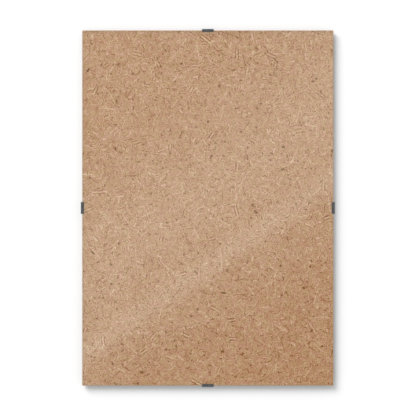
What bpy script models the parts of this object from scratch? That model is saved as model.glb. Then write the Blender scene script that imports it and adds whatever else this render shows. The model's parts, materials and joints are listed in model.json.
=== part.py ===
"""Frameless clip frame for an A4 sheet: clear glass on a hardboard back, held by four spring clips.

The frame hangs upright: X runs to the viewer's right, -Y towards the viewer and Z up, in metres.
The origin is on the wall, at the nail that carries the upper hanger.
"""

import math

import bmesh
import bpy
from mathutils import Vector

# Glass and board, one A4 sheet each
SHEET_WIDTH = 0.210
SHEET_HEIGHT = 0.297
GLASS_THICKNESS = 0.002
GLASS_ARRIS = 0.0003  # flat that is ground on every edge of the glass
BOARD_THICKNESS = 0.003
BOARD_EASE = 0.0002  # worn-off edge of the sawn board
PRINT_GAP = 0.0003  # room for a print between glass and board

# Spring clip, bent from one steel strip: lip, web, back leg, detent and finger tab
CLIP_WIDTH = 0.010
CLIP_STEEL = 0.0007
CLIP_BEND = 0.0005  # inside radius of the two bends round the edge
LIP_REACH = 0.00145  # how far the lip laps over the glass
LIP_CORNER = 0.0004
LIP_GAP = 0.0003  # between lip and glass
EDGE_GAP = 0.0005  # between web and the edges of glass and board
LEG_STANDOFF = 0.0018  # clear spring travel between leg and board
LEG_BEND = 0.0015  # inside radius where the leg turns down to the detent
DETENT_INSET = 0.0165  # from the sheet's edge to the middle of the groove
DETENT_BEND = 0.0004
DETENT_ANGLE = math.radians(50)
TAB_WIDTH = 0.008
TAB_LENGTH = 0.0033  # straight part past the detent's bend
TAB_CORNER = 0.002
GROOVE_DEPTH = 0.0016  # blind groove milled in the board's back
GROOVE_CLEARANCE = 0.0004  # round the detent

# Sawtooth hanger, stamped from one steel strip and pressed into the board's back
HANGER_STEEL = 0.0008
HANGER_HEIGHT = 0.009
HANGER_BELOW_CLIP = 0.012  # clear distance between a clip's tab and the hanger
HANGER_SEAT = 0.0003  # between the hanger's pads and the board
HANGER_RAISE = 0.0014  # room for a nail's head behind the toothed bridge
HANGER_BEND = 0.0004
TOOTH_COUNT = 9
TOOTH_PITCH = 0.002
TOOTH_DEPTH = 0.001
BRIDGE_MARGIN = 0.001  # plain bridge past the last tooth
JOGGLE_RUN = 0.0015  # length of the ramp from bridge to pad
JOGGLE_BEND = 0.0006
PAD_LENGTH = 0.0025
PRONG_WIDTH = 0.003
PRONG_TIP = 0.0008
PRONG_COVER = 0.001  # board left in front of a prong's point
PRONG_CLEARANCE = 0.0003

# Fineness of the round parts, and how far a cutter reaches past the face it cuts
BEND_STEP = math.radians(10)
CORNER_STEPS = 6
SLOT_END_STEPS = 12
CREASE_ANGLE = math.radians(40)  # a sharper edge than this is shaded as a crease
CORNER_SHARE = 0.8  # most of a strip's end that a rounded corner may take
CUT_OVERRUN = 0.001

# Sheet positions, measured along Y from the wall
BOARD_BACK = -(LEG_STANDOFF + CLIP_STEEL)
BOARD_FRONT = BOARD_BACK - BOARD_THICKNESS
GLASS_BACK = BOARD_FRONT - PRINT_GAP
GLASS_FRONT = GLASS_BACK - GLASS_THICKNESS
LIP_FACE = GLASS_FRONT - LIP_GAP

# The detent: the V at the leg's end that snaps into the groove
DETENT_DEPTH = GROOVE_DEPTH - GROOVE_CLEARANCE
DETENT_RADIUS = DETENT_BEND + CLIP_STEEL / 2
DETENT_CORNER_DEPTH = DETENT_DEPTH - CLIP_STEEL / 2 + DETENT_RADIUS * (1 / math.cos(DETENT_ANGLE) - 1)
DETENT_HALF_WIDTH = DETENT_CORNER_DEPTH / math.tan(DETENT_ANGLE) + CLIP_STEEL / 2 / math.sin(DETENT_ANGLE)
TAB_REACH = DETENT_RADIUS * math.tan(DETENT_ANGLE) + TAB_LENGTH
TAB_INSET = DETENT_INSET + TAB_REACH * math.cos(DETENT_ANGLE)
GROOVE_WIDTH = 2 * (DETENT_HALF_WIDTH + GROOVE_CLEARANCE)
GROOVE_LENGTH = TAB_WIDTH + 2 * GROOVE_CLEARANCE + GROOVE_WIDTH

# The hanger's nail point, and the run of its strip from the middle to a prong
NAIL_INSET = TAB_INSET + HANGER_BELOW_CLIP + HANGER_HEIGHT - TOOTH_DEPTH
HANGER_MIDDLE = HANGER_HEIGHT / 2 - TOOTH_DEPTH
BRIDGE_END = TOOTH_COUNT * TOOTH_PITCH / 2 + BRIDGE_MARGIN
PAD_START = BRIDGE_END + JOGGLE_RUN
SHOULDER = (HANGER_HEIGHT - PRONG_WIDTH) / 2
PRONG_RADIUS = HANGER_BEND + HANGER_STEEL / 2
SHOULDER_END = PAD_START + PAD_LENGTH + SHOULDER
PRONG_OFFSET = SHOULDER_END + PRONG_RADIUS
PRONG_DEPTH = BOARD_THICKNESS - PRONG_COVER

# Sides of the sheet: name, turn about Y from the top side, and distance from the sheet's centre
SIDES = (
    ("top", 0.0, SHEET_HEIGHT / 2),
    ("right", math.pi / 2, SHEET_WIDTH / 2),
    ("bottom", math.pi, SHEET_HEIGHT / 2),
    ("left", -math.pi / 2, SHEET_WIDTH / 2),
)


def linear(channel):
    """Linear value of one sRGB channel, 0 to 255."""
    share = channel / 255
    return share / 12.92 if share <= 0.04045 else ((share + 0.055) / 1.055) ** 2.4


def make_material(name, color, roughness, metallic=0.0, transmission=0.0):
    material = bpy.data.materials.new(name)
    material.use_nodes = True
    shader = material.node_tree.nodes["Principled BSDF"]
    shader.inputs["Base Color"].default_value = (*map(linear, color), 1.0)
    shader.inputs["Roughness"].default_value = roughness
    shader.inputs["Metallic"].default_value = metallic
    shader.inputs["Transmission Weight"].default_value = transmission
    return material


def add_object(name, mesh, parent=None, location=(0, 0, 0), turn=0.0):
    """An object of this mesh, turned about Y and placed from its parent's origin."""
    piece = bpy.data.objects.new(name, mesh)
    bpy.context.scene.collection.objects.link(piece)
    piece.parent = parent
    piece.location = location
    piece.rotation_euler = (0, turn, 0)
    return piece


def side_place(turn, distance, depth):
    """A point this far from the sheet's centre towards one side, at this depth from the wall."""
    return (distance * math.sin(turn), depth, distance * math.cos(turn))


def box_mesh(name, width, depth, height):
    """A box about the origin."""
    mesh = bpy.data.meshes.new(name)
    shape = bmesh.new()
    bmesh.ops.create_cube(shape, size=1)
    bmesh.ops.scale(shape, vec=(width, depth, height), verts=shape.verts)
    shape.to_mesh(mesh)
    shape.free()
    return mesh


def slot_mesh(name, length, width, depth):
    """A slot's space about the origin: long in X, with round ends, and deep in Y."""
    mesh = bpy.data.meshes.new(name)
    shape = bmesh.new()
    rim = []
    for side in (1, -1):
        for step in range(SLOT_END_STEPS + 1):
            angle = math.pi * (step / SLOT_END_STEPS - 0.5)
            along = side * ((length - width) / 2 + width / 2 * math.cos(angle))
            rim.append(shape.verts.new((along, -depth / 2, side * width / 2 * math.sin(angle))))
    floor = shape.faces.new(rim)
    walls = bmesh.ops.extrude_face_region(shape, geom=[floor])["geom"]
    far_rim = [item for item in walls if isinstance(item, bmesh.types.BMVert)]
    bmesh.ops.translate(shape, vec=(0, depth, 0), verts=far_rim)
    bmesh.ops.recalc_face_normals(shape, faces=shape.faces)
    shape.to_mesh(mesh)
    shape.free()
    return mesh


def rounded_path(corners, radii):
    """Points along straight runs through the corners, with each inner corner rounded by its radius."""
    points = [corners[0]]
    for before, corner, after, radius in zip(corners, corners[1:], corners[2:], radii):
        arriving = (before - corner).normalized()
        leaving = (after - corner).normalized()
        half_angle = arriving.angle(leaving) / 2
        centre = corner + (arriving + leaving).normalized() * (radius / math.sin(half_angle))
        setback = radius / math.tan(half_angle)
        first_spoke = (corner + arriving * setback - centre).normalized()
        last_spoke = (corner + leaving * setback - centre).normalized()
        steps = max(2, math.ceil((math.pi - 2 * half_angle) / BEND_STEP))
        for step in range(steps + 1):
            points.append(centre + first_spoke.slerp(last_spoke, step / steps) * radius)
    points.append(corners[-1])
    return points


def rounded_end(tip, inward, half_width, corner):
    """Points and half widths at a strip's end, from the tip inward, with both corners rounded."""
    rows = []
    for step in range(CORNER_STEPS):
        angle = math.pi / 2 * step / CORNER_STEPS
        point = tip + inward * (corner * (1 - math.cos(angle)))
        rows.append((point, half_width - corner * (1 - math.sin(angle))))
    return rows


def bent_strip_mesh(name, rows, thickness):
    """Sheet metal of even thickness about a ribbon, whose rows each hold a left and a right point."""
    ribbon = bpy.data.meshes.new(name + "_ribbon")
    points = [point for row in rows for point in row]
    faces = [(2 * row, 2 * row + 1, 2 * row + 3, 2 * row + 2) for row in range(len(rows) - 1)]
    ribbon.from_pydata(points, [], faces)
    former = add_object(name + "_former", ribbon)
    sheet = former.modifiers.new("sheet", "SOLIDIFY")
    sheet.thickness = thickness
    sheet.offset = 0
    sheet.use_even_offset = True
    depsgraph = bpy.context.evaluated_depsgraph_get()
    mesh = bpy.data.meshes.new_from_object(former.evaluated_get(depsgraph))
    mesh.name = name
    bpy.data.objects.remove(former)
    mesh.shade_smooth()
    mesh.set_sharp_from_angle(angle=CREASE_ANGLE)
    return mesh


def clip_mesh(material):
    """The clip of the top side, about its swing axis: the inner edge of the lip, on the glass."""
    board_back = BOARD_BACK - LIP_FACE
    lip_depth = -CLIP_STEEL / 2
    web_height = LIP_REACH + EDGE_GAP + CLIP_STEEL / 2
    leg_depth = board_back + LEG_STANDOFF + CLIP_STEEL / 2
    detent = Vector((0, board_back - DETENT_CORNER_DEPTH, LIP_REACH - DETENT_INSET))
    ramp_run = (leg_depth - detent.y) / math.tan(DETENT_ANGLE)
    leg_start = Vector((0, leg_depth, LIP_REACH))
    leg_end = Vector((0, leg_depth, detent.z + ramp_run))
    bend = CLIP_BEND + CLIP_STEEL / 2

    lip_tip = Vector((0, lip_depth, 0))
    lip_inward = Vector((0, 0, 1))
    lip_corner = min(LIP_CORNER, CORNER_SHARE * LIP_REACH)
    rows = rounded_end(lip_tip, lip_inward, CLIP_WIDTH / 2, lip_corner)
    hook = rounded_path(
        (
            lip_tip + lip_inward * lip_corner,
            Vector((0, lip_depth, web_height)),
            Vector((0, leg_depth, web_height)),
            leg_start,
        ),
        (bend, bend),
    )
    rows += [(point, CLIP_WIDTH / 2) for point in hook]

    tab_inward = Vector((0, -math.sin(DETENT_ANGLE), math.cos(DETENT_ANGLE)))
    tab_tip = detent - tab_inward * TAB_REACH
    tab_corner = min(TAB_CORNER, CORNER_SHARE * TAB_LENGTH, CORNER_SHARE * TAB_WIDTH / 2)
    leg = rounded_path(
        (leg_start, leg_end, detent, tab_tip + tab_inward * tab_corner),
        (LEG_BEND + CLIP_STEEL / 2, DETENT_RADIUS),
    )
    for point in leg[1:]:
        taper = min(1, (leg_start.z - point.z) / (leg_start.z - leg_end.z))
        rows.append((point, (CLIP_WIDTH + (TAB_WIDTH - CLIP_WIDTH) * taper) / 2))
    rows += reversed(rounded_end(tab_tip, tab_inward, TAB_WIDTH / 2, tab_corner))

    across = Vector((1, 0, 0))
    edges = [(point - across * half, point + across * half) for point, half in rows]
    mesh = bent_strip_mesh("spring_clip", edges, CLIP_STEEL)
    mesh.materials.append(material)
    return mesh


def hanger_mesh(material):
    """The hanger of the top side, about the point where the nail bears in its middle notch."""
    bridge_depth = HANGER_RAISE + HANGER_STEEL / 2
    pad_depth = HANGER_SEAT + HANGER_STEEL / 2
    low_edge = -TOOTH_DEPTH
    high_edge = HANGER_HEIGHT - TOOTH_DEPTH

    # Half of the strip, from the middle notch to a prong: place along X, depth, low and high edge
    half = []
    for step in range(TOOTH_COUNT + 1):
        notch = step % 2 == 0
        half.append((step * TOOTH_PITCH / 2, bridge_depth, 0 if notch else low_edge, high_edge))
    joggle = rounded_path(
        (
            Vector((TOOTH_COUNT * TOOTH_PITCH / 2, bridge_depth, 0)),
            Vector((BRIDGE_END, bridge_depth, 0)),
            Vector((PAD_START, pad_depth, 0)),
            Vector((PAD_START + PAD_LENGTH, pad_depth, 0)),
        ),
        (JOGGLE_BEND + HANGER_STEEL / 2, JOGGLE_BEND + HANGER_STEEL / 2),
    )
    half += [(point.x, point.y, low_edge, high_edge) for point in joggle[1:]]
    shoulder_end = Vector((SHOULDER_END, pad_depth, 0))
    shoulder = rounded_end(shoulder_end, Vector((-1, 0, 0)), HANGER_HEIGHT / 2, SHOULDER)
    prong = rounded_path(
        (shoulder_end, Vector((PRONG_OFFSET, pad_depth, 0)), Vector((PRONG_OFFSET, -PRONG_DEPTH, 0))),
        (PRONG_RADIUS,),
    )
    narrow = list(reversed(shoulder[1:])) + [(point, PRONG_WIDTH / 2) for point in prong[1:-1]]
    narrow.append((prong[-1], PRONG_TIP / 2))
    half += [(point.x, point.y, HANGER_MIDDLE - wide, HANGER_MIDDLE + wide) for point, wide in narrow]

    mirrored = [(-along, depth, low, high) for along, depth, low, high in reversed(half[1:])]
    edges = [
        (Vector((along, depth, low)), Vector((along, depth, high)))
        for along, depth, low, high in mirrored + half
    ]
    mesh = bent_strip_mesh("sawtooth_hanger", edges, HANGER_STEEL)
    mesh.materials.append(material)
    return mesh


def sheet_object(name, thickness, depth, edge, parent, material):
    """A sheet of the frame's outline with its edges broken, its middle at this depth."""
    mesh = box_mesh(name, SHEET_WIDTH, thickness, SHEET_HEIGHT)
    mesh.materials.append(material)
    sheet = add_object(name, mesh, parent, (0, depth, 0))
    broken_edge = sheet.modifiers.new("broken_edge", "BEVEL")
    broken_edge.width = edge
    broken_edge.segments = 1
    return sheet


def cut(piece, cutter):
    cutter.hide_render = True
    cutter.display_type = "WIRE"
    opening = piece.modifiers.new(cutter.name, "BOOLEAN")
    opening.object = cutter
    opening.operation = "DIFFERENCE"
    opening.solver = "EXACT"


def cut_grooves(board, parent):
    """A blind groove behind each side, for that side's clip to snap into."""
    depth = GROOVE_DEPTH + CUT_OVERRUN
    mesh = slot_mesh("groove", GROOVE_LENGTH, GROOVE_WIDTH, depth)
    for side, turn, reach in SIDES:
        place = side_place(turn, reach - DETENT_INSET, BOARD_BACK - GROOVE_DEPTH + depth / 2)
        cut(board, add_object("groove_" + side, mesh, parent, place, turn))


def cut_prong_holes(board, hanger):
    """The two holes that a hanger's prongs are pressed into."""
    depth = PRONG_DEPTH + PRONG_CLEARANCE + CUT_OVERRUN
    width = HANGER_STEEL + 2 * PRONG_CLEARANCE
    mesh = box_mesh("prong_hole", width, depth, PRONG_WIDTH + 2 * PRONG_CLEARANCE)
    for end, offset in (("left", -PRONG_OFFSET), ("right", PRONG_OFFSET)):
        place = (offset, CUT_OVERRUN - depth / 2, HANGER_MIDDLE)
        cut(board, add_object(f"{hanger.name}_hole_{end}", mesh, hanger, place))


for old_object in list(bpy.data.objects):
    bpy.data.objects.remove(old_object)

glass_finish = make_material("clear_float_glass", (236, 243, 239), 0.02, transmission=1.0)
board_finish = make_material("brown_hardboard", (186, 146, 112), 0.55)
clip_finish = make_material("dark_spring_steel", (101, 98, 96), 0.4, metallic=1.0)
hanger_finish = make_material("zinc_plated_steel", (178, 180, 182), 0.35, metallic=1.0)

sheet_centre = add_object("sheet_centre", None, location=(0, 0, NAIL_INSET - SHEET_HEIGHT / 2))
glass_middle = (GLASS_FRONT + GLASS_BACK) / 2
board_middle = (BOARD_FRONT + BOARD_BACK) / 2
sheet_object("glass_sheet", GLASS_THICKNESS, glass_middle, GLASS_ARRIS, sheet_centre, glass_finish)
backing_board = sheet_object(
    "backing_board", BOARD_THICKNESS, board_middle, BOARD_EASE, sheet_centre, board_finish
)
cut_grooves(backing_board, sheet_centre)

spring_clip = clip_mesh(clip_finish)
for side_name, side_turn, side_reach in SIDES:
    swing_axis = side_place(side_turn, side_reach - LIP_REACH, LIP_FACE)
    add_object("clip_" + side_name, spring_clip, sheet_centre, swing_axis, side_turn)

sawtooth_hanger = hanger_mesh(hanger_finish)
for hanging, (_, side_turn, side_reach) in zip(("portrait", "landscape"), SIDES):
    nail_point = side_place(side_turn, side_reach - NAIL_INSET, BOARD_BACK)
    hanger_piece = add_object("hanger_" + hanging, sawtooth_hanger, sheet_centre, nail_point, side_turn)
    cut_prong_holes(backing_board, hanger_piece)
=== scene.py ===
import json
import math

import bpy
from mathutils import Matrix, Vector


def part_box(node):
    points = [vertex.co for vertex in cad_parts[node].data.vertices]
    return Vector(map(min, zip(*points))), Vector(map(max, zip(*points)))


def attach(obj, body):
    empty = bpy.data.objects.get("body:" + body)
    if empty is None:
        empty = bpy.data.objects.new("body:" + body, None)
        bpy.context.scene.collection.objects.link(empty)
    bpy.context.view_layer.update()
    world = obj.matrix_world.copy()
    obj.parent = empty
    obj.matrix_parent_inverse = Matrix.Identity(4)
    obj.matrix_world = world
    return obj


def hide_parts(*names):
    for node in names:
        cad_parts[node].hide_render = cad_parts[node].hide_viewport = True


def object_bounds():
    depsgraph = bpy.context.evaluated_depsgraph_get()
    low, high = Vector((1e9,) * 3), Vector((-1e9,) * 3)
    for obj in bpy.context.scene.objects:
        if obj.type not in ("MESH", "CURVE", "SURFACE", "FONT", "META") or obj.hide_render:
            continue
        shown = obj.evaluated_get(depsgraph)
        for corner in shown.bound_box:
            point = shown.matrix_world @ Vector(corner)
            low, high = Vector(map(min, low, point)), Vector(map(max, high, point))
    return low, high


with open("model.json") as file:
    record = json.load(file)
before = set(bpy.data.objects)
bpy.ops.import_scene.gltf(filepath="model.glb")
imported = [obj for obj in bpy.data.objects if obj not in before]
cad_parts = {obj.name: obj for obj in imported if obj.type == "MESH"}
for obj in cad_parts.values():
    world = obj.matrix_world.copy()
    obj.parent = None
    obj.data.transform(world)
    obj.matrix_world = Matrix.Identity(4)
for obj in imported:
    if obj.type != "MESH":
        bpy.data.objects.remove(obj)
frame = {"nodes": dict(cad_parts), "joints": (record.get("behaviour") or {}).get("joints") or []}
cad_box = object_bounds()

# Backing board: 3 mm hardboard, dry-pressed from brown wood fibre, left bare and sawn to the glass's size.
# Blind grooves for the clips and holes for the hangers are cut in its back. The clips hold it to the glass.
BOARD_FRONT, BOARD_BACK = [corner.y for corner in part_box("backing_board")]
MM = 1000  # patterns are laid out in millimetres
SPECK_BROWN = "#804E06"
BARK_BROWN = "#A66D2E"
BOARD_BROWN = "#CC9F73"
PALE_FIBRE = "#E7C8A5"
MIDDLE_LEVEL = 0.5  # of the plain felt, with dark fibres below and pale ones above
FELT_BROWNS = ((0.0, SPECK_BROWN), (0.25, BARK_BROWN), (MIDDLE_LEVEL, BOARD_BROWN), (0.75, PALE_FIBRE))
ROSY_CAST = "#FFF2FF"
CUT_DARK = "#8E6238"
CUT_PALE = "#C49A6C"
FIBRES = (
    # Real fibres are a tenth of a millimetre thick. These are drawn as coarse as the picture can show.
    # cell, length and width of a fibre or bundle, pitch of its strands and bow in mm;
    # share of the cells that hold one; tone of the strongest and of the weakest, dark below zero
    (2.3, 2.5, 1.9, 1.9, 0.10, 1.00, -0.70, 0.56),  # felt
    (3.1, 3.4, 1.2, 3.0, 0.06, 1.00, -0.46, 0.36),  # short fibres
    (4.2, 5.5, 1.6, 2.0, 0.03, 1.00, -0.26, 0.34),  # small bundles
    (13.0, 15.0, 1.2, 2.4, 0.004, 0.80, -0.46, 0.46),  # long fibres
    (16.0, 9.0, 5.0, 2.5, 0.006, 0.30, 0.62, 0.00),  # combed bundles
    (9.0, 5.0, 1.2, 50.0, 0.02, 0.34, 0.70, 0.00),  # pale slivers, of one strand
    (6.8, 2.6, 1.0, 50.0, 0.05, 0.50, -1.15, 0.00),  # specks of bark
    (17.0, 2.8, 1.7, 50.0, 0.05, 0.50, -1.40, 0.00),  # larger flakes of bark
)
FIBRE_SHRINK = (0.6, 2.0)  # what chance divides a fibre's length by
SIDE_FADE = (0.3, 0.6)  # in widths from a fibre's middle line
END_FADE = (0.35, 0.5)  # in lengths from its middle
LAYER_SHIFT = (37.1, -21.7, 0)  # mm from the cells of one layer to those of the next
WAVE_SIZE = 6  # mm, of the waves that bend the fibres
WAVE_REACH = (0.9, 0.9, 0)  # mm
MOTTLE = ((0.9, 0.28), (1.9, 0.16), (4.5, 0.12), (24.0, 0.10))  # grain in mm and depth of tone
TONE_GAIN = 0.47
ROSY_PATCH = 5  # mm
ROSY_SPAN = (0.35, 0.65)
EDGE_SHEAR = (1.7, 1.3)  # shift of the face's pattern with depth, so that it doesn't streak the cuts
CUT_SPAN = (0.1, 0.4)  # mm under a pressed face in which the look of a cut sets in
PLIES_PER_MM = (0.7, 4, 0.7)  # the fibres in a cut lie flat, 1.4 mm long and 0.25 mm thick
NOISE_LOW, NOISE_HIGH = 0.3, 0.7  # where most of a noise pattern lies
ROUGHNESS_SPAN = (0.2, 0.8)  # levels of the felt that have these roughnesses
SKIN_ROUGHNESS = (0.7, 0.52)
CUT_ROUGHNESS = 0.9
FIBRE_RELIEF = 0.0001


def linear(colour):
    """Linear RGBA of an sRGB hex colour."""
    shares = [int(colour[place : place + 2], 16) / 255 for place in (1, 3, 5)]
    return (*[c / 12.92 if c <= 0.04045 else ((c + 0.055) / 1.055) ** 2.4 for c in shares], 1.0)


def add(tree, kind, inputs=(), stops=(), **settings):
    """Adds a node with its settings and, to a colour ramp, stops of place and linear colour in order.

    An input takes a value, a socket that is linked to it, or a node whose first output is.
    """
    node = tree.nodes.new(kind)
    for name, value in settings.items():
        setattr(node, name, value)
    for key, value in dict(inputs).items():
        if isinstance(value, bpy.types.Node):
            value = value.outputs[0]
        if isinstance(value, bpy.types.NodeSocket):
            tree.links.new(value, node.inputs[key])
        else:
            node.inputs[key].default_value = value
    for place, _ in stops[1:-1]:
        node.color_ramp.elements.new(place)
    for number, (place, colour) in enumerate(stops):
        node.color_ramp.elements[number].position = place
        node.color_ramp.elements[number].color = colour
    return node


def new_material(name):
    """A material with only its output node, and that output."""
    material = bpy.data.materials.new(name)
    material.use_nodes = True
    material.node_tree.nodes.clear()
    return material, material.node_tree, add(material.node_tree, "ShaderNodeOutputMaterial")


def lay_fibres(tree, felt, cell, length, width, pitch, bow, share, strongest, weakest):
    """The tone of a layer of short bowed fibres or bundles, one to a cell, each at its own angle."""
    cells = add(tree, "ShaderNodeTexVoronoi", {"Vector": felt, "Scale": 1 / cell}, voronoi_dimensions="2D")
    chance = add(tree, "ShaderNodeSeparateColor", {0: cells.outputs["Color"]}).outputs
    angle = add(tree, "ShaderNodeMath", {0: chance[0], 1: 2 * math.pi}, operation="MULTIPLY")
    from_middle = add(
        tree, "ShaderNodeVectorMath", {0: felt, 1: cells.outputs["Position"]}, operation="SUBTRACT"
    )
    turned = add(
        tree, "ShaderNodeVectorRotate", {"Vector": from_middle, "Angle": angle}, rotation_type="Z_AXIS"
    )
    axes = add(tree, "ShaderNodeSeparateXYZ", {0: turned}).outputs

    squared = add(tree, "ShaderNodeMath", {0: axes["X"], 1: 2.0}, operation="POWER")
    curve = add(tree, "ShaderNodeMapRange", {"Value": chance[1], "To Min": -bow, "To Max": bow})
    bowed = add(tree, "ShaderNodeMath", {0: squared, 1: curve, 2: axes["Y"]}, operation="MULTIPLY_ADD")
    across = add(tree, "ShaderNodeMath", {0: bowed}, operation="ABSOLUTE")
    side = add(
        tree,
        "ShaderNodeMapRange",
        {
            "Value": across,
            "From Min": SIDE_FADE[0] * width,
            "From Max": SIDE_FADE[1] * width,
            "To Min": 1.0,
            "To Max": 0.0,
        },
        interpolation_type="SMOOTHSTEP",
    )
    reach = add(tree, "ShaderNodeMath", {0: axes["X"]}, operation="ABSOLUTE")
    shrink = add(
        tree,
        "ShaderNodeMapRange",
        {"Value": chance[1], "To Min": FIBRE_SHRINK[0], "To Max": FIBRE_SHRINK[1]},
    )
    along = add(tree, "ShaderNodeMath", {0: reach, 1: shrink}, operation="MULTIPLY")
    end = add(
        tree,
        "ShaderNodeMapRange",
        {
            "Value": along,
            "From Min": END_FADE[0] * length,
            "From Max": END_FADE[1] * length,
            "To Min": 1.0,
            "To Max": 0.0,
        },
        interpolation_type="SMOOTHSTEP",
    )

    shape = add(tree, "ShaderNodeMath", {0: side, 1: end}, operation="MULTIPLY")
    swell = add(tree, "ShaderNodeMath", {0: across, 1: 2 * math.pi / pitch}, operation="MULTIPLY")
    strands = add(tree, "ShaderNodeMath", {0: swell}, operation="COSINE")
    bundle = add(tree, "ShaderNodeMath", {0: shape, 1: strands}, operation="MULTIPLY")
    tone = add(
        tree,
        "ShaderNodeMapRange",
        {"Value": chance[2], "From Max": share, "To Min": strongest, "To Max": weakest},
    )
    return add(tree, "ShaderNodeMath", {0: bundle, 1: tone}, operation="MULTIPLY")


def felt_level(tree, face):
    """The level of the pressed felt at a place on the face, about a half: fibres over a soft mottle."""
    waves = add(
        tree,
        "ShaderNodeTexNoise",
        {"Vector": face, "Scale": 1 / WAVE_SIZE, "Detail": 1.0},
        noise_dimensions="2D",
    )
    felt = add(
        tree,
        "ShaderNodeVectorMath",
        {0: waves.outputs["Color"], 1: WAVE_REACH, 2: face},
        operation="MULTIPLY_ADD",
    )
    tones = []
    for layer, fibre in enumerate(FIBRES):
        shifted = add(tree, "ShaderNodeVectorMath", {0: felt, 1: layer * Vector(LAYER_SHIFT)})
        tones.append(lay_fibres(tree, shifted.outputs[0], *fibre))
    for grain, depth in MOTTLE:
        noise = add(
            tree,
            "ShaderNodeTexNoise",
            {"Vector": face, "Scale": 1 / grain, "Detail": 2.0},
            noise_dimensions="2D",
        )
        tones.append(add(tree, "ShaderNodeMapRange", {"Value": noise, "To Min": -depth, "To Max": depth}))
    tone = tones[0]
    for more in tones[1:]:
        tone = add(tree, "ShaderNodeMath", {0: tone, 1: more})
    return add(tree, "ShaderNodeMath", {0: tone, 1: TONE_GAIN, 2: MIDDLE_LEVEL}, operation="MULTIPLY_ADD")


def felt_colour(tree, face, level):
    """The colour of the pressed felt: bark brown to pale fibre, with a rosy cast in patches."""
    browns = [(place, linear(brown)) for place, brown in FELT_BROWNS]
    fibre = add(tree, "ShaderNodeValToRGB", {0: level}, stops=browns)
    patches = add(
        tree,
        "ShaderNodeTexNoise",
        {"Vector": face, "Scale": 1 / ROSY_PATCH, "Detail": 2.0},
        noise_dimensions="2D",
    )
    rosy = add(
        tree,
        "ShaderNodeMapRange",
        {"Value": patches, "From Min": ROSY_SPAN[0], "From Max": ROSY_SPAN[1]},
    )
    colour = add(
        tree,
        "ShaderNodeMix",
        {0: rosy, 6: fibre, 7: linear(ROSY_CAST)},
        data_type="RGBA",
        blend_type="MULTIPLY",
    )
    return colour.outputs[2]


def hardboard():
    """Bare pressed wood fibre: a matt felt of short pale and dark fibres with bark specks, fuzzy in cuts."""
    material, tree, output = new_material("bare_pressed_hardboard")
    place = add(tree, "ShaderNodeTexCoord").outputs["Object"]
    across = add(
        tree, "ShaderNodeVectorMath", {0: place, 1: (MM, EDGE_SHEAR[0] * MM, 0)}, operation="DOT_PRODUCT"
    )
    up = add(
        tree, "ShaderNodeVectorMath", {0: place, 1: (0, EDGE_SHEAR[1] * MM, MM)}, operation="DOT_PRODUCT"
    )
    face = add(tree, "ShaderNodeCombineXYZ", {0: across.outputs["Value"], 1: up.outputs["Value"]}).outputs[0]
    level = felt_level(tree, face)
    felt = felt_colour(tree, face, level)

    depth = add(tree, "ShaderNodeSeparateXYZ", {0: place}).outputs["Y"]
    from_front = add(tree, "ShaderNodeMath", {0: depth, 1: BOARD_FRONT}, operation="SUBTRACT")
    from_back = add(tree, "ShaderNodeMath", {0: BOARD_BACK, 1: depth}, operation="SUBTRACT")
    from_skin = add(tree, "ShaderNodeMath", {0: from_front, 1: from_back}, operation="MINIMUM")
    cut = add(
        tree,
        "ShaderNodeMapRange",
        {"Value": from_skin, "From Min": CUT_SPAN[0] / MM, "From Max": CUT_SPAN[1] / MM},
    )
    plies = add(
        tree, "ShaderNodeVectorMath", {0: place, 1: MM * Vector(PLIES_PER_MM)}, operation="MULTIPLY"
    )
    fuzz = add(tree, "ShaderNodeTexNoise", {"Vector": plies, "Scale": 1.0, "Detail": 4.0})
    browns = ((NOISE_LOW, linear(CUT_DARK)), (NOISE_HIGH, linear(CUT_PALE)))
    sawn = add(tree, "ShaderNodeValToRGB", {0: fuzz}, stops=browns)

    colour = add(tree, "ShaderNodeMix", {0: cut, 6: felt, 7: sawn}, data_type="RGBA")
    skin_rough = add(
        tree,
        "ShaderNodeMapRange",
        {
            "Value": level,
            "From Min": ROUGHNESS_SPAN[0],
            "From Max": ROUGHNESS_SPAN[1],
            "To Min": SKIN_ROUGHNESS[0],
            "To Max": SKIN_ROUGHNESS[1],
        },
    )
    rough = add(tree, "ShaderNodeMix", {0: cut, 2: skin_rough, 3: CUT_ROUGHNESS})
    relief = add(tree, "ShaderNodeMix", {0: cut, 2: level, 3: fuzz})
    bump = add(tree, "ShaderNodeBump", {"Strength": 0.25, "Distance": FIBRE_RELIEF, "Height": relief})
    shader = add(
        tree,
        "ShaderNodeBsdfPrincipled",
        {"Base Color": colour.outputs[2], "Roughness": rough, "Normal": bump},
    )
    tree.links.new(shader.outputs[0], output.inputs[0])
    return material


board_mesh = frame["nodes"]["backing_board"].data
board_mesh.materials.clear()
board_mesh.materials.append(hardboard())

# Glass: one sheet of 2 mm float glass, cut to A4, its edges and their narrow arrises ground matt. It lies
# over the board with room for a print between them, and only the lips of the clips hold it.
GLASS_CLEAR = "#FFFFFF"
GLASS_SHADE = "#FAFCFB"
EDGE_SHADE = "#E6ECE9"
GROUND_EDGE = "#7F968C"
GROUND_EDGE_PALE = "#AABBB3"
ARRIS_PAINTED_BOARD = "#B4936F"  # the board's brown, painted on the arris, which is opaque: painted see-through of the board behind it
ARRIS_PAINTED_BOARD_PALE = "#C6A987"
GLASS_IOR = 1.52
SMEAR_SIZE = 40  # mm
SMEAR_SPAN = (0.5, 0.8)
SMEAR_ROUGHNESS = 0.03
SCRATCHES_PER_MM = (0.1, 2.5, 0.1)  # 10 mm long and 0.4 mm apart
SCRATCH_ROUGHNESS = (0.55, 0.35)
SCRATCH_RELIEF = 0.00005
CLEAR_FACE, EDGE_FACE, ARRIS_FACE = range(3)  # places of the sheet's materials
EDGE_SLOPE, ARRIS_SLOPE = 0.5, 0.9  # how far an edge's or an arris's face may turn to the front


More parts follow.
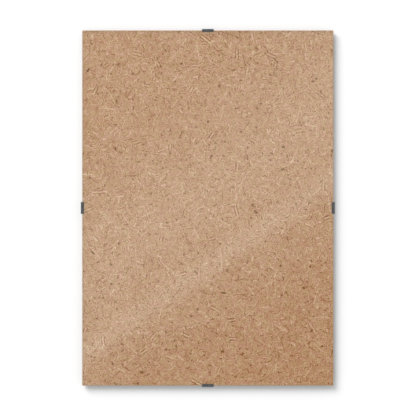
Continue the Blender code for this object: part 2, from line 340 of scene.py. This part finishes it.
def let_light_by(tree, shader, shade, output):
    """Ends a glass material: the shader as seen, and a clear pane of a shade for light that passes."""
    light_path = add(tree, "ShaderNodeLightPath")
    clear = add(tree, "ShaderNodeBsdfTransparent", {"Color": linear(shade)})
    glass = add(
        tree, "ShaderNodeMixShader", {0: light_path.outputs["Is Shadow Ray"], 1: shader, 2: clear}
    )
    tree.links.new(glass.outputs[0], output.inputs[0])


def float_glass():
    """Clear float glass: mirror-smooth, with faint smears from wiping."""
    material, tree, output = new_material("clear_float_glass")
    place = add(tree, "ShaderNodeTexCoord").outputs["Object"]
    smear = add(tree, "ShaderNodeTexNoise", {"Vector": place, "Scale": MM / SMEAR_SIZE, "Detail": 3.0})
    polish = add(
        tree,
        "ShaderNodeMapRange",
        {
            "Value": smear,
            "From Min": SMEAR_SPAN[0],
            "From Max": SMEAR_SPAN[1],
            "To Min": 0.0,
            "To Max": SMEAR_ROUGHNESS,
        },
    )
    shader = add(
        tree,
        "ShaderNodeBsdfPrincipled",
        {
            "Base Color": linear(GLASS_CLEAR),
            "Roughness": polish,
            "IOR": GLASS_IOR,
            "Transmission Weight": 1.0,
        },
    )
    let_light_by(tree, shader, GLASS_SHADE, output)
    return material


def ground_glass(name, dark, pale):
    """Frosted glass in the two colours given, opaque to the eye, with fine scratches from the grinding stone
    that run along the edge.
    """
    material, tree, output = new_material(name)
    place = add(tree, "ShaderNodeTexCoord").outputs["Object"]
    along = add(
        tree, "ShaderNodeVectorMath", {0: place, 1: MM * Vector(SCRATCHES_PER_MM)}, operation="MULTIPLY"
    )
    scratches = add(tree, "ShaderNodeTexNoise", {"Vector": along, "Scale": 1.0, "Detail": 3.0})
    tones = ((NOISE_LOW, linear(dark)), (NOISE_HIGH, linear(pale)))
    colour = add(tree, "ShaderNodeValToRGB", {0: scratches}, stops=tones)
    rough = add(
        tree,
        "ShaderNodeMapRange",
        {
            "Value": scratches,
            "From Min": NOISE_LOW,
            "From Max": NOISE_HIGH,
            "To Min": SCRATCH_ROUGHNESS[0],
            "To Max": SCRATCH_ROUGHNESS[1],
        },
    )
    bump = add(tree, "ShaderNodeBump", {"Strength": 0.2, "Distance": SCRATCH_RELIEF, "Height": scratches})
    shader = add(
        tree, "ShaderNodeBsdfPrincipled", {"Base Color": colour, "Roughness": rough, "Normal": bump}
    )
    let_light_by(tree, shader, EDGE_SHADE, output)
    return material


glass_mesh = frame["nodes"]["glass_sheet"].data
glass_mesh.materials.clear()
glass_mesh.materials.append(float_glass())
glass_mesh.materials.append(ground_glass("ground_glass_edge", GROUND_EDGE, GROUND_EDGE_PALE))
# The arrises take the board's browns as their own colour: painted see-through of the board, since this
# frosted glass is opaque to the eye.
glass_mesh.materials.append(ground_glass("ground_glass_arris_painted_board", ARRIS_PAINTED_BOARD, ARRIS_PAINTED_BOARD_PALE))
for polygon in glass_mesh.polygons:
    slope = abs(polygon.normal.y)
    if slope < EDGE_SLOPE:
        polygon.material_index = EDGE_FACE
    elif slope < ARRIS_SLOPE:
        polygon.material_index = ARRIS_FACE
    else:
        polygon.material_index = CLEAR_FACE

# Spring clips: four alike, each bent from one strip of dark oiled spring steel. A lip laps the glass, a web
# runs round the edge, and a leg behind ends in a V that snaps into the board's groove, and a finger tab.
CLIP_WIDTH = 0.010
CLIP_STEEL = 0.0007
CLIP_BEND = 0.0005  # inside radius
LIP_REACH = 0.00145
LIP_CORNER = 0.0004
EDGE_GAP = 0.0005  # between web and glass
LEG_BEND = 0.0015
DETENT_INSET = 0.0165  # from the glass's edge
DETENT_DEPTH = 0.0012  # below the board's back
DETENT_BEND = 0.0004
DETENT_ANGLE = math.radians(50)
TAB_WIDTH = 0.008
TAB_LENGTH = 0.0033
TAB_CORNER = 0.002
STRIP_EDGE = 0.00012  # rounded edge of the slit strip
BEND_STEPS = 9
CORNER_STEPS = 8
EDGE_STEPS = 3
SMOOTH_ANGLE = math.radians(12)
STEEL_DARK = "#393A3B"
STEEL_GREY = "#717274"
STEEL_WORN = "#9A9B9D"
STREAKS_PER_MM = (1.6, 0.12, 0)  # rolling streaks 0.6 mm wide and 8 mm long
STREAK_SPAN = (0.25, 0.85)
STREAK_RELIEF = 0.00005
SPOTS_PER_MM = 0.9  # wear comes in spots 1.1 mm wide
SPOT_SHARE = 0.3
WEAR_SPAN = (1.04, 1.2)  # of the rim, 1 at the strip's edges, plus the spots' share
STEEL_ROUGHNESS = (0.5, 0.36)
STEEL_METALLIC = 0.8  # oil dulls it
TURNS = {"top": 0.0, "right": math.pi / 2, "bottom": math.pi, "left": -math.pi / 2}
SWINGS = {joint["child"]: Vector(joint["pos_m"]) for joint in frame["joints"]}


def bent_strip_tree():
    """Nodes that bend a strip of metal along a path, whose points hold their bend and edge distances."""
    tree = bpy.data.node_groups.new("bent_strip", "GeometryNodeTree")
    tree.interface.new_socket("Path", in_out="INPUT", socket_type="NodeSocketGeometry")
    for name in ("Width", "Steel", "Strip Edge"):
        tree.interface.new_socket(name, in_out="INPUT", socket_type="NodeSocketFloat")
    tree.interface.new_socket("Bend Steps", in_out="INPUT", socket_type="NodeSocketInt")
    tree.interface.new_socket("Finish", in_out="INPUT", socket_type="NodeSocketMaterial")
    tree.interface.new_socket("Strip", in_out="OUTPUT", socket_type="NodeSocketGeometry")
    sizes = add(tree, "NodeGroupInput").outputs

    # The path, with its bends rounded and its length kept for the finish
    bend = add(tree, "GeometryNodeInputNamedAttribute", {"Name": "bend"}, data_type="FLOAT")
    run = add(tree, "GeometryNodeMeshToCurve", {0: sizes["Path"]})
    rounded = add(
        tree,
        "GeometryNodeFilletCurve",
        {0: run, "Count": sizes["Bend Steps"], "Radius": bend, "Limit Radius": True},
        mode="POLY",
    )
    length = add(tree, "GeometryNodeSplineParameter").outputs["Length"]
    measured = add(
        tree,
        "GeometryNodeStoreNamedAttribute",
        {0: rounded, "Name": "along", "Value": length},
        data_type="FLOAT",
        domain="POINT",
    )
    upright = add(tree, "GeometryNodeSetCurveNormal", {0: measured, "Normal": (1, 0, 0)}, mode="FREE")

    # The strip's section, with rounded edges, and how near its rim each point is
    section = add(
        tree, "GeometryNodeCurvePrimitiveQuadrilateral", {"Width": sizes["Width"], "Height": sizes["Steel"]}
    )
    section_edge = add(
        tree,
        "GeometryNodeFilletCurve",
        {0: section, "Count": EDGE_STEPS, "Radius": sizes["Strip Edge"]},
        mode="POLY",
    )
    halved = add(tree, "GeometryNodeSubdivideCurve", {0: section_edge, "Cuts": 1})
    place = add(tree, "GeometryNodeInputPosition")
    axes = add(tree, "ShaderNodeSeparateXYZ", {0: place}).outputs
    far_left = add(tree, "ShaderNodeMath", {0: sizes["Width"], 1: -0.5}, operation="MULTIPLY")
    far_right = add(tree, "ShaderNodeMath", {0: sizes["Width"], 1: 0.5}, operation="MULTIPLY")
    off_middle = add(tree, "ShaderNodeMath", {0: axes["X"]}, operation="ABSOLUTE")
    rim = add(tree, "ShaderNodeMath", {0: off_middle, 1: far_right}, operation="DIVIDE")
    edged = add(
        tree,
        "GeometryNodeStoreNamedAttribute",
        {0: halved, "Name": "rim", "Value": rim},
        data_type="FLOAT",
        domain="POINT",
    )
    bar = add(tree, "GeometryNodeCurveToMesh", {0: upright, 1: edged, "Fill Caps": True})

    # The strip cut to its outline: each point moves across to its own left and right edges
    left = add(tree, "GeometryNodeInputNamedAttribute", {"Name": "left"}, data_type="FLOAT")
    right = add(tree, "GeometryNodeInputNamedAttribute", {"Name": "right"}, data_type="FLOAT")
    left_edge = add(tree, "ShaderNodeMath", {0: left, 1: -1.0}, operation="MULTIPLY")
    across = add(
        tree,
        "ShaderNodeMapRange",
        {
            "Value": axes["X"],
            "From Min": far_left,
            "From Max": far_right,
            "To Min": left_edge,
            "To Max": right,
        },
        clamp=False,
    )
    fitted = add(tree, "ShaderNodeCombineXYZ", {0: across, 1: axes["Y"], 2: axes["Z"]})
    cut = add(tree, "GeometryNodeSetPosition", {0: bar, "Position": fitted})

    # Places on the flat strip, for the finish: across it, along it and towards the rim
    along = add(tree, "GeometryNodeInputNamedAttribute", {"Name": "along"}, data_type="FLOAT")
    worn = add(tree, "GeometryNodeInputNamedAttribute", {"Name": "rim"}, data_type="FLOAT")
    rolled = add(tree, "ShaderNodeCombineXYZ", {0: axes["X"], 1: along, 2: worn})
    marked = add(
        tree,
        "GeometryNodeStoreNamedAttribute",
        {0: cut, "Name": "rolled", "Value": rolled},
        data_type="FLOAT_VECTOR",
        domain="POINT",
    )
    whole = add(tree, "GeometryNodeRealizeInstances", {0: marked})
    finished = add(tree, "GeometryNodeSetMaterial", {0: whole, "Material": sizes["Finish"]})
    add(tree, "NodeGroupOutput", {0: finished})
    return tree


def bent_strip(name, rows, width, steel, finish):
    """A mesh of a strip bent along rows of point, left and right edge distance, and bend radius."""
    path = bpy.data.meshes.new(name + "_path")
    points = [row[0] for row in rows]
    path.from_pydata(points, [(place, place + 1) for place in range(len(rows) - 1)], [])
    for column, attribute in enumerate(("left", "right", "bend"), start=1):
        values = path.attributes.new(attribute, "FLOAT", "POINT")
        values.data.foreach_set("value", [row[column] for row in rows])
    former = bpy.data.objects.new(name + "_former", path)
    bpy.context.scene.collection.objects.link(former)
    nodes = former.modifiers.new("strip", "NODES")
    nodes.node_group = STRIP_TREE
    named = {socket.name: socket.identifier for socket in STRIP_TREE.interface.items_tree}
    nodes[named["Width"]] = width
    nodes[named["Steel"]] = steel
    nodes[named["Strip Edge"]] = STRIP_EDGE
    nodes[named["Bend Steps"]] = BEND_STEPS
    nodes[named["Finish"]] = finish
    depsgraph = bpy.context.evaluated_depsgraph_get()
    mesh = bpy.data.meshes.new_from_object(former.evaluated_get(depsgraph))
    mesh.name = name
    bpy.data.objects.remove(former)
    mesh.shade_smooth()
    mesh.set_sharp_from_angle(angle=SMOOTH_ANGLE)
    return mesh


def rounded_end(tip, inward, half_width, corner):
    """Rows at a strip's end, from the tip inward, with both corners rounded."""
    rows = []
    for step in range(CORNER_STEPS):
        angle = math.pi / 2 * step / CORNER_STEPS
        half = half_width - corner * (1 - math.sin(angle))
        rows.append((tip + inward * (corner * (1 - math.cos(angle))), half, half, 0.0))
    return rows


def spring_steel():
    """Dark oiled spring steel: rolling streaks along the strip, rubbed bright at its edges."""
    material, tree, output = new_material("dark_oiled_spring_steel")
    strip = add(tree, "ShaderNodeAttribute", attribute_name="rolled").outputs["Vector"]
    streaks = add(
        tree, "ShaderNodeVectorMath", {0: strip, 1: MM * Vector(STREAKS_PER_MM)}, operation="MULTIPLY"
    )
    rolling = add(tree, "ShaderNodeTexNoise", {"Vector": streaks, "Scale": 1.0, "Detail": 3.0})
    greys = ((STREAK_SPAN[0], linear(STEEL_DARK)), (STREAK_SPAN[1], linear(STEEL_GREY)))
    colour = add(tree, "ShaderNodeValToRGB", {0: rolling}, stops=greys)

    spots = add(tree, "ShaderNodeTexNoise", {"Vector": strip, "Scale": SPOTS_PER_MM * MM, "Detail": 2.0})
    rim = add(tree, "ShaderNodeSeparateXYZ", {0: strip}).outputs["Z"]
    rubbed = add(tree, "ShaderNodeMath", {0: spots, 1: SPOT_SHARE, 2: rim}, operation="MULTIPLY_ADD")
    wear = add(
        tree,
        "ShaderNodeMapRange",
        {"Value": rubbed, "From Min": WEAR_SPAN[0], "From Max": WEAR_SPAN[1]},
        interpolation_type="SMOOTHSTEP",
    )
    worn = add(tree, "ShaderNodeMix", {0: wear, 6: colour, 7: linear(STEEL_WORN)}, data_type="RGBA")
    rough = add(
        tree,
        "ShaderNodeMapRange",
        {
            "Value": rolling,
            "From Min": NOISE_LOW,
            "From Max": NOISE_HIGH,
            "To Min": STEEL_ROUGHNESS[0],
            "To Max": STEEL_ROUGHNESS[1],
        },
    )
    bump = add(tree, "ShaderNodeBump", {"Strength": 0.15, "Distance": STREAK_RELIEF, "Height": rolling})
    shader = add(
        tree,
        "ShaderNodeBsdfPrincipled",
        {
            "Base Color": worn.outputs[2],
            "Roughness": rough,
            "Metallic": STEEL_METALLIC,
            "Normal": bump,
        },
    )
    tree.links.new(shader.outputs[0], output.inputs[0])
    return material


STRIP_TREE = bent_strip_tree()
CLIP_FINISH = spring_steel()

# The path of the strip's middle, seen from the side: Y runs back from the lip's inner face, Z out from
# the lip's edge. A row holds a point, the distances of the left and right edges, and a bend radius.
swing_depth = SWINGS["top_clip"].y
detent_radius = DETENT_BEND + CLIP_STEEL / 2
detent_corner = DETENT_DEPTH - CLIP_STEEL / 2 + detent_radius * (1 / math.cos(DETENT_ANGLE) - 1)
lip_y = -CLIP_STEEL / 2
leg_y = -swing_depth - CLIP_STEEL / 2
web_z = LIP_REACH + EDGE_GAP + CLIP_STEEL / 2
detent = Vector((0, BOARD_BACK - swing_depth - detent_corner, LIP_REACH - DETENT_INSET))
leg_end = Vector((0, leg_y, detent.z + (leg_y - detent.y) / math.tan(DETENT_ANGLE)))
tab_in = Vector((0, -math.sin(DETENT_ANGLE), math.cos(DETENT_ANGLE)))
tab_tip = detent - tab_in * (detent_radius * math.tan(DETENT_ANGLE) + TAB_LENGTH)
hook_bend = CLIP_BEND + CLIP_STEEL / 2
wide, narrow = CLIP_WIDTH / 2, TAB_WIDTH / 2
clip_rows = [
    *rounded_end(Vector((0, lip_y, 0)), Vector((0, 0, 1)), wide, LIP_CORNER),
    (Vector((0, lip_y, LIP_CORNER)), wide, wide, 0.0),
    (Vector((0, lip_y, web_z)), wide, wide, hook_bend),
    (Vector((0, leg_y, web_z)), wide, wide, hook_bend),
    (Vector((0, leg_y, LIP_REACH)), wide, wide, 0.0),
    (leg_end, narrow, narrow, LEG_BEND + CLIP_STEEL / 2),
    (detent, narrow, narrow, detent_radius),
    (tab_tip + tab_in * TAB_CORNER, narrow, narrow, 0.0),
    *reversed(rounded_end(tab_tip, tab_in, narrow, TAB_CORNER)),
]
for side, turn in TURNS.items():
    clip_mesh = bent_strip("spring_clip_" + side, clip_rows, CLIP_WIDTH, CLIP_STEEL, CLIP_FINISH)
    clip_mesh.transform(Matrix.Translation(SWINGS[side + "_clip"]) @ Matrix.Rotation(turn, 4, "Y"))
    spring_clip = bpy.data.objects.new("spring_clip_" + side, clip_mesh)
    bpy.context.scene.collection.objects.link(spring_clip)
    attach(spring_clip, side + "_clip")
    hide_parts("clip_" + side)

# Sawtooth hangers: two alike, each stamped from zinc-plated steel strip, with a toothed bridge that stands
# off the board for a nail's head, and a prong at each end that is pressed into a blind hole.
HANGER_STEEL = 0.0008
HANGER_HEIGHT = 0.009
HANGER_SEAT = 0.0003
HANGER_RAISE = 0.0014
HANGER_BEND = 0.0004
TOOTH_COUNT = 9
TOOTH_PITCH = 0.002
TOOTH_DEPTH = 0.001
BRIDGE_MARGIN = 0.001
JOGGLE_RUN = 0.0015
JOGGLE_BEND = 0.0006
PAD_LENGTH = 0.0025
PRONG_WIDTH = 0.003
PRONG_TIP = 0.0008
PRONG_DEPTH = 0.002
ZINC_DULL = "#9EA1A4"
ZINC_BRIGHT = "#D2D4D6"
CLOUDS_PER_MM = (1.2, 0.25, 0)  # 0.8 mm wide and 4 mm long
CLOUD_SPAN = (0.3, 0.75)
ZINC_ROUGHNESS = (0.42, 0.28)
HANGER_SIDES = {"portrait": "top", "landscape": "right"}


def zinc_plate():
    """Bright zinc plate: cool grey clouds and faint rolling lines under a satin shine."""
    material, tree, output = new_material("zinc_plated_steel")
    strip = add(tree, "ShaderNodeAttribute", attribute_name="rolled").outputs["Vector"]
    streaks = add(
        tree, "ShaderNodeVectorMath", {0: strip, 1: MM * Vector(CLOUDS_PER_MM)}, operation="MULTIPLY"
    )
    clouds = add(tree, "ShaderNodeTexNoise", {"Vector": streaks, "Scale": 1.0, "Detail": 4.0})
    greys = ((CLOUD_SPAN[0], linear(ZINC_DULL)), (CLOUD_SPAN[1], linear(ZINC_BRIGHT)))
    colour = add(tree, "ShaderNodeValToRGB", {0: clouds}, stops=greys)
    rough = add(
        tree,
        "ShaderNodeMapRange",
        {
            "Value": clouds,
            "From Min": NOISE_LOW,
            "From Max": NOISE_HIGH,
            "To Min": ZINC_ROUGHNESS[0],
            "To Max": ZINC_ROUGHNESS[1],
        },
    )
    shader = add(
        tree, "ShaderNodeBsdfPrincipled", {"Base Color": colour, "Roughness": rough, "Metallic": 1.0}
    )
    tree.links.new(shader.outputs[0], output.inputs[0])
    return material


HANGER_FINISH = zinc_plate()

# Half of the strip from the middle notch to a prong's point: Z runs along it and Y out from the board
high_edge = HANGER_HEIGHT - TOOTH_DEPTH
middle = HANGER_HEIGHT / 2 - TOOTH_DEPTH
bridge_y = HANGER_RAISE + HANGER_STEEL / 2
pad_y = HANGER_SEAT + HANGER_STEEL / 2
bridge_end = TOOTH_COUNT * TOOTH_PITCH / 2 + BRIDGE_MARGIN
pad_start = bridge_end + JOGGLE_RUN
pad_end = pad_start + PAD_LENGTH
joggle_bend = JOGGLE_BEND + HANGER_STEEL / 2
shoulder = (HANGER_HEIGHT - PRONG_WIDTH) / 2
shoulder_tip = Vector((0, pad_y, pad_end + shoulder))
shoulder_rows = rounded_end(shoulder_tip, Vector((0, 0, -1)), HANGER_HEIGHT / 2, shoulder)
prong_radius = HANGER_BEND + HANGER_STEEL / 2
prong_place = pad_end + shoulder + prong_radius
prong_left, prong_right = PRONG_WIDTH / 2 - middle, PRONG_WIDTH / 2 + middle
tip_left, tip_right = PRONG_TIP / 2 - middle, PRONG_TIP / 2 + middle
half_rows = []
for step in range(TOOTH_COUNT + 1):
    tooth = TOOTH_DEPTH if step % 2 else 0.0
    half_rows.append((Vector((0, bridge_y, step * TOOTH_PITCH / 2)), tooth, high_edge, 0.0))
half_rows.append((Vector((0, bridge_y, bridge_end)), TOOTH_DEPTH, high_edge, joggle_bend))
half_rows.append((Vector((0, pad_y, pad_start)), TOOTH_DEPTH, high_edge, joggle_bend))
half_rows.append((Vector((0, pad_y, pad_end)), TOOTH_DEPTH, high_edge, 0.0))
for point, half, _, _ in reversed(shoulder_rows[1:]):
    half_rows.append((point, half - middle, half + middle, 0.0))
half_rows.append((Vector((0, pad_y, prong_place)), prong_left, prong_right, prong_radius))
half_rows.append((Vector((0, PRONG_WIDTH / 2 - PRONG_DEPTH, prong_place)), prong_left, prong_right, 0.0))
half_rows.append((Vector((0, -PRONG_DEPTH, prong_place)), tip_left, tip_right, 0.0))

# Both halves make the strip, which is then laid across, with its teeth down, and turned to its side
flip = Matrix.Diagonal((1, 1, -1))
hanger_rows = [(flip @ point, *rest) for point, *rest in reversed(half_rows[1:])] + half_rows
lay_across = Matrix(((0, 0, -1, 0), (0, 1, 0, 0), (1, 0, 0, 0), (0, 0, 0, 1)))
for hanging, side in HANGER_SIDES.items():
    name = "sawtooth_hanger_" + hanging
    low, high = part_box("hanger_" + hanging)
    turn = Matrix.Rotation(TURNS[side], 4, "Y")
    nail_point = (low + high) / 2
    nail_point.y = BOARD_BACK
    nail_point -= turn @ Vector((0, 0, middle))
    hanger_mesh = bent_strip(name, hanger_rows, HANGER_HEIGHT, HANGER_STEEL, HANGER_FINISH)
    hanger_mesh.transform(Matrix.Translation(nail_point) @ turn @ lay_across)
    hanger = bpy.data.objects.new(name, hanger_mesh)
    bpy.context.scene.collection.objects.link(hanger)
    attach(hanger, "panel")
    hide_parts("hanger_" + hanging)

# Backdrop: the plain white wall that the frame hangs on. It takes the soft shadow, fades to pure white
# away from the frame, and is clear from behind, so that the frame's back can be seen.
WALL_GAP = 0.0004
WALL_SIZE = 6.0
WALL_WHITE = "#FFFFFF"
SHADOW_REACH = (0.30, 0.60)  # from the sheet's middle, where the fade starts and ends
SHEET_LOW, SHEET_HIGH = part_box("glass_sheet")
SHEET_MIDDLE = (SHEET_LOW + SHEET_HIGH) / 2
TO_VIEWER, TO_WALL = -1, 1  # along Y


def upright_plane(name, centre, width, height, facing):
    """A plane that stands upright and faces the viewer or the wall."""
    mesh = bpy.data.meshes.new(name)
    half_width, half_height = -facing * width / 2, height / 2
    corners = ((-1, -1), (1, -1), (1, 1), (-1, 1))
    points = [centre + Vector((x * half_width, 0, z * half_height)) for x, z in corners]
    mesh.from_pydata(points, [], [(0, 1, 2, 3)])
    plane = bpy.data.objects.new(name, mesh)
    bpy.context.scene.collection.objects.link(plane)
    return plane


def white_wall():
    """Plain white paint, seen from the front only. It stops no lamp's light on the frame's back."""
    material, tree, output = new_material("white_wall_paint")
    place = add(tree, "ShaderNodeTexCoord").outputs["Object"]
    from_sheet = add(tree, "ShaderNodeVectorMath", {0: place, 1: SHEET_MIDDLE}, operation="DISTANCE")
    fade = add(
        tree,
        "ShaderNodeMapRange",
        {"Value": from_sheet.outputs["Value"], "From Min": SHADOW_REACH[0], "From Max": SHADOW_REACH[1]},
    )
    paint = add(tree, "ShaderNodeBsdfDiffuse", {"Color": linear(WALL_WHITE)})
    white = add(tree, "ShaderNodeEmission", {"Color": linear(WALL_WHITE), "Strength": 1.0})
    front = add(tree, "ShaderNodeMixShader", {0: fade, 1: paint, 2: white})
    clear = add(tree, "ShaderNodeBsdfTransparent")
    behind = add(tree, "ShaderNodeNewGeometry").outputs["Backfacing"]
    ray = add(tree, "ShaderNodeLightPath").outputs
    lets_by = add(
        tree, "ShaderNodeMath", {0: ray["Is Shadow Ray"], 1: ray["Diffuse Depth"]}, operation="GREATER_THAN"
    )
    unseen = add(tree, "ShaderNodeMath", {0: behind, 1: lets_by}, operation="MAXIMUM")
    wall = add(tree, "ShaderNodeMixShader", {0: unseen, 1: front, 2: clear})
    tree.links.new(wall.outputs[0], output.inputs[0])
    return material


wall_centre = Vector((0, cad_box[1].y + WALL_GAP, SHEET_MIDDLE.z))
backdrop = upright_plane("white_wall", wall_centre, WALL_SIZE, WALL_SIZE, TO_VIEWER)
backdrop.data.materials.append(white_wall())
backdrop.visible_diffuse = False
backdrop.visible_glossy = False

# Camera: straight in front of the sheet, a hair to the right of its middle, through a long lens, as in the
# photograph.
VIEW_WIDTH = 0.3478  # what the picture takes in at the glass
VIEW_DISTANCE = 1.5
VIEW_SHIFT = 0.00015  # to the right, a fifth of a pixel
SENSOR_WIDTH = 36.0
camera_data = bpy.data.cameras.new("camera")
camera_data.sensor_width = SENSOR_WIDTH
camera_data.lens = SENSOR_WIDTH * VIEW_DISTANCE / VIEW_WIDTH
camera = bpy.data.objects.new("camera", camera_data)
camera.location = (VIEW_SHIFT, SHEET_LOW.y - VIEW_DISTANCE, SHEET_MIDDLE.z)
camera.rotation_euler = (math.pi / 2, 0, 0)
bpy.context.scene.collection.objects.link(camera)
bpy.context.scene.camera = camera

# Studio light: a large key softbox up and to the left, as wide as the soft shadow on the wall asks for, a
# small one in front, and one behind the wall for the frame's back. A white world fills in. A graded card
# mirrors in the glass as the slanting glare.
SOFTBOXES = {
    # place from the sheet's middle and size in metres, power in watts
    "key_softbox": ((-3.55, -5.0, 4.63), (4.8, 4.3), 482.0),
    "front_softbox": ((0.0, -5.0, 0.0), (1.5, 1.5), 35.0),
    "back_softbox": ((3.55, 5.0, 4.63), (6.0, 6.0), 560.0),
}
KEY_BLOCKERS = ("glass_sheet", "backing_board")  # the clips leave no mark in the soft shadow
AMBIENT = 0.43  # of white, from all round
DIRECT_DEPTH = 1.5  # past the first diffuse bounce, short of the second
CARD_DISTANCE = VIEW_DISTANCE + 0.3  # behind the camera
CARD_SCALE = 1 + CARD_DISTANCE / VIEW_DISTANCE
GLARE_SLANT = math.radians(35)
GLARE_SPAN = 0.36  # across all the bands, on the glass
GLARE_TINT = "#F3FFF6"  # green, as light through glass is
GLARE_PEAK = 1.63
GLARE_STEPS = (
    # place across the bands and share of the peak
    (0.00, 0.44),
    (0.18, 0.44),
    (0.49, 0.78),
    (0.57, 0.63),
    (0.61, 0.95),
    (0.66, 0.41),
    (0.78, 0.20),
    (0.94, 0.09),
)


def softbox(name, place, size, power):
    """An area lamp aimed at the sheet's middle, unseen itself."""
    lamp = bpy.data.lights.new(name, "AREA")
    lamp.shape = "RECTANGLE"
    lamp.size, lamp.size_y = size
    lamp.energy = power
    box = bpy.data.objects.new(name, lamp)
    box.location = SHEET_MIDDLE + Vector(place)
    box.rotation_euler = Vector(place).to_track_quat("Z", "Y").to_euler()
    for ray in ("camera", "glossy", "transmission"):
        setattr(box, "visible_" + ray, False)
    bpy.context.scene.collection.objects.link(box)
    return box


def glare_card():
    """A lit card whose brightness runs in slanting bands."""
    material, tree, output = new_material("graded_studio_card")
    place = add(tree, "ShaderNodeTexCoord").outputs["Object"]
    across = Vector((math.sin(GLARE_SLANT), 0, -math.cos(GLARE_SLANT)))
    reach = CARD_SCALE * GLARE_SPAN / 2
    from_middle = add(tree, "ShaderNodeVectorMath", {0: place, 1: SHEET_MIDDLE}, operation="SUBTRACT")
    slant = add(tree, "ShaderNodeVectorMath", {0: from_middle, 1: across}, operation="DOT_PRODUCT")
    band = add(
        tree,
        "ShaderNodeMapRange",
        {"Value": slant.outputs["Value"], "From Min": -reach, "From Max": reach},
    )
    tint = Vector(linear(GLARE_TINT))
    bands = [(position, share * tint) for position, share in GLARE_STEPS]
    glare = add(tree, "ShaderNodeValToRGB", {0: band}, stops=bands)
    glare.color_ramp.interpolation = "EASE"
    glow = add(tree, "ShaderNodeEmission", {"Color": glare, "Strength": GLARE_PEAK})
    tree.links.new(glow.outputs[0], output.inputs[0])
    material.cycles.emission_sampling = "NONE"
    return material


def white_studio():
    """A world that is pure white to the eye and in mirrors, but lights the frame dimly and only directly."""
    world = bpy.data.worlds.new("white_studio")
    world.use_nodes = True
    tree = world.node_tree
    tree.nodes.clear()
    ray = add(tree, "ShaderNodeLightPath").outputs
    mirrored = add(
        tree, "ShaderNodeMath", {0: ray["Is Camera Ray"], 1: ray["Is Glossy Ray"]}, operation="MAXIMUM"
    )
    seen = add(tree, "ShaderNodeMath", {0: mirrored, 1: ray["Is Transmission Ray"]}, operation="MAXIMUM")
    undimmed = add(tree, "ShaderNodeMath", {0: seen, 1: ray["Diffuse Depth"]}, operation="GREATER_THAN")
    direct = add(tree, "ShaderNodeMath", {0: ray["Diffuse Depth"], 1: DIRECT_DEPTH}, operation="LESS_THAN")
    dome = add(tree, "ShaderNodeMath", {0: direct, 1: AMBIENT}, operation="MULTIPLY")
    strength = add(tree, "ShaderNodeMapRange", {"Value": undimmed, "To Min": dome, "To Max": 1.0})
    sky = add(tree, "ShaderNodeBackground", {"Color": linear(WALL_WHITE), "Strength": strength})
    add(tree, "ShaderNodeOutputWorld", {0: sky})
    world.cycles.sampling_method = "NONE"
    return world


boxes = {name: softbox(name, *settings) for name, settings in SOFTBOXES.items()}
key_blockers = bpy.data.collections.new("casts_key_shadow")
for sheet in KEY_BLOCKERS:
    key_blockers.objects.link(frame["nodes"][sheet])
boxes["key_softbox"].light_linking.blocker_collection = key_blockers
card_centre = Vector((0, SHEET_LOW.y - CARD_DISTANCE, SHEET_MIDDLE.z))
card_size = CARD_SCALE * (SHEET_HIGH - SHEET_LOW)
card = upright_plane("glare_card", card_centre, card_size.x, card_size.z, TO_WALL)
card.data.materials.append(glare_card())
for ray in ("camera", "diffuse", "volume_scatter", "shadow"):
    setattr(card, "visible_" + ray, False)
bpy.context.scene.world = white_studio()
bpy.context.scene.view_settings.view_transform = "Standard"
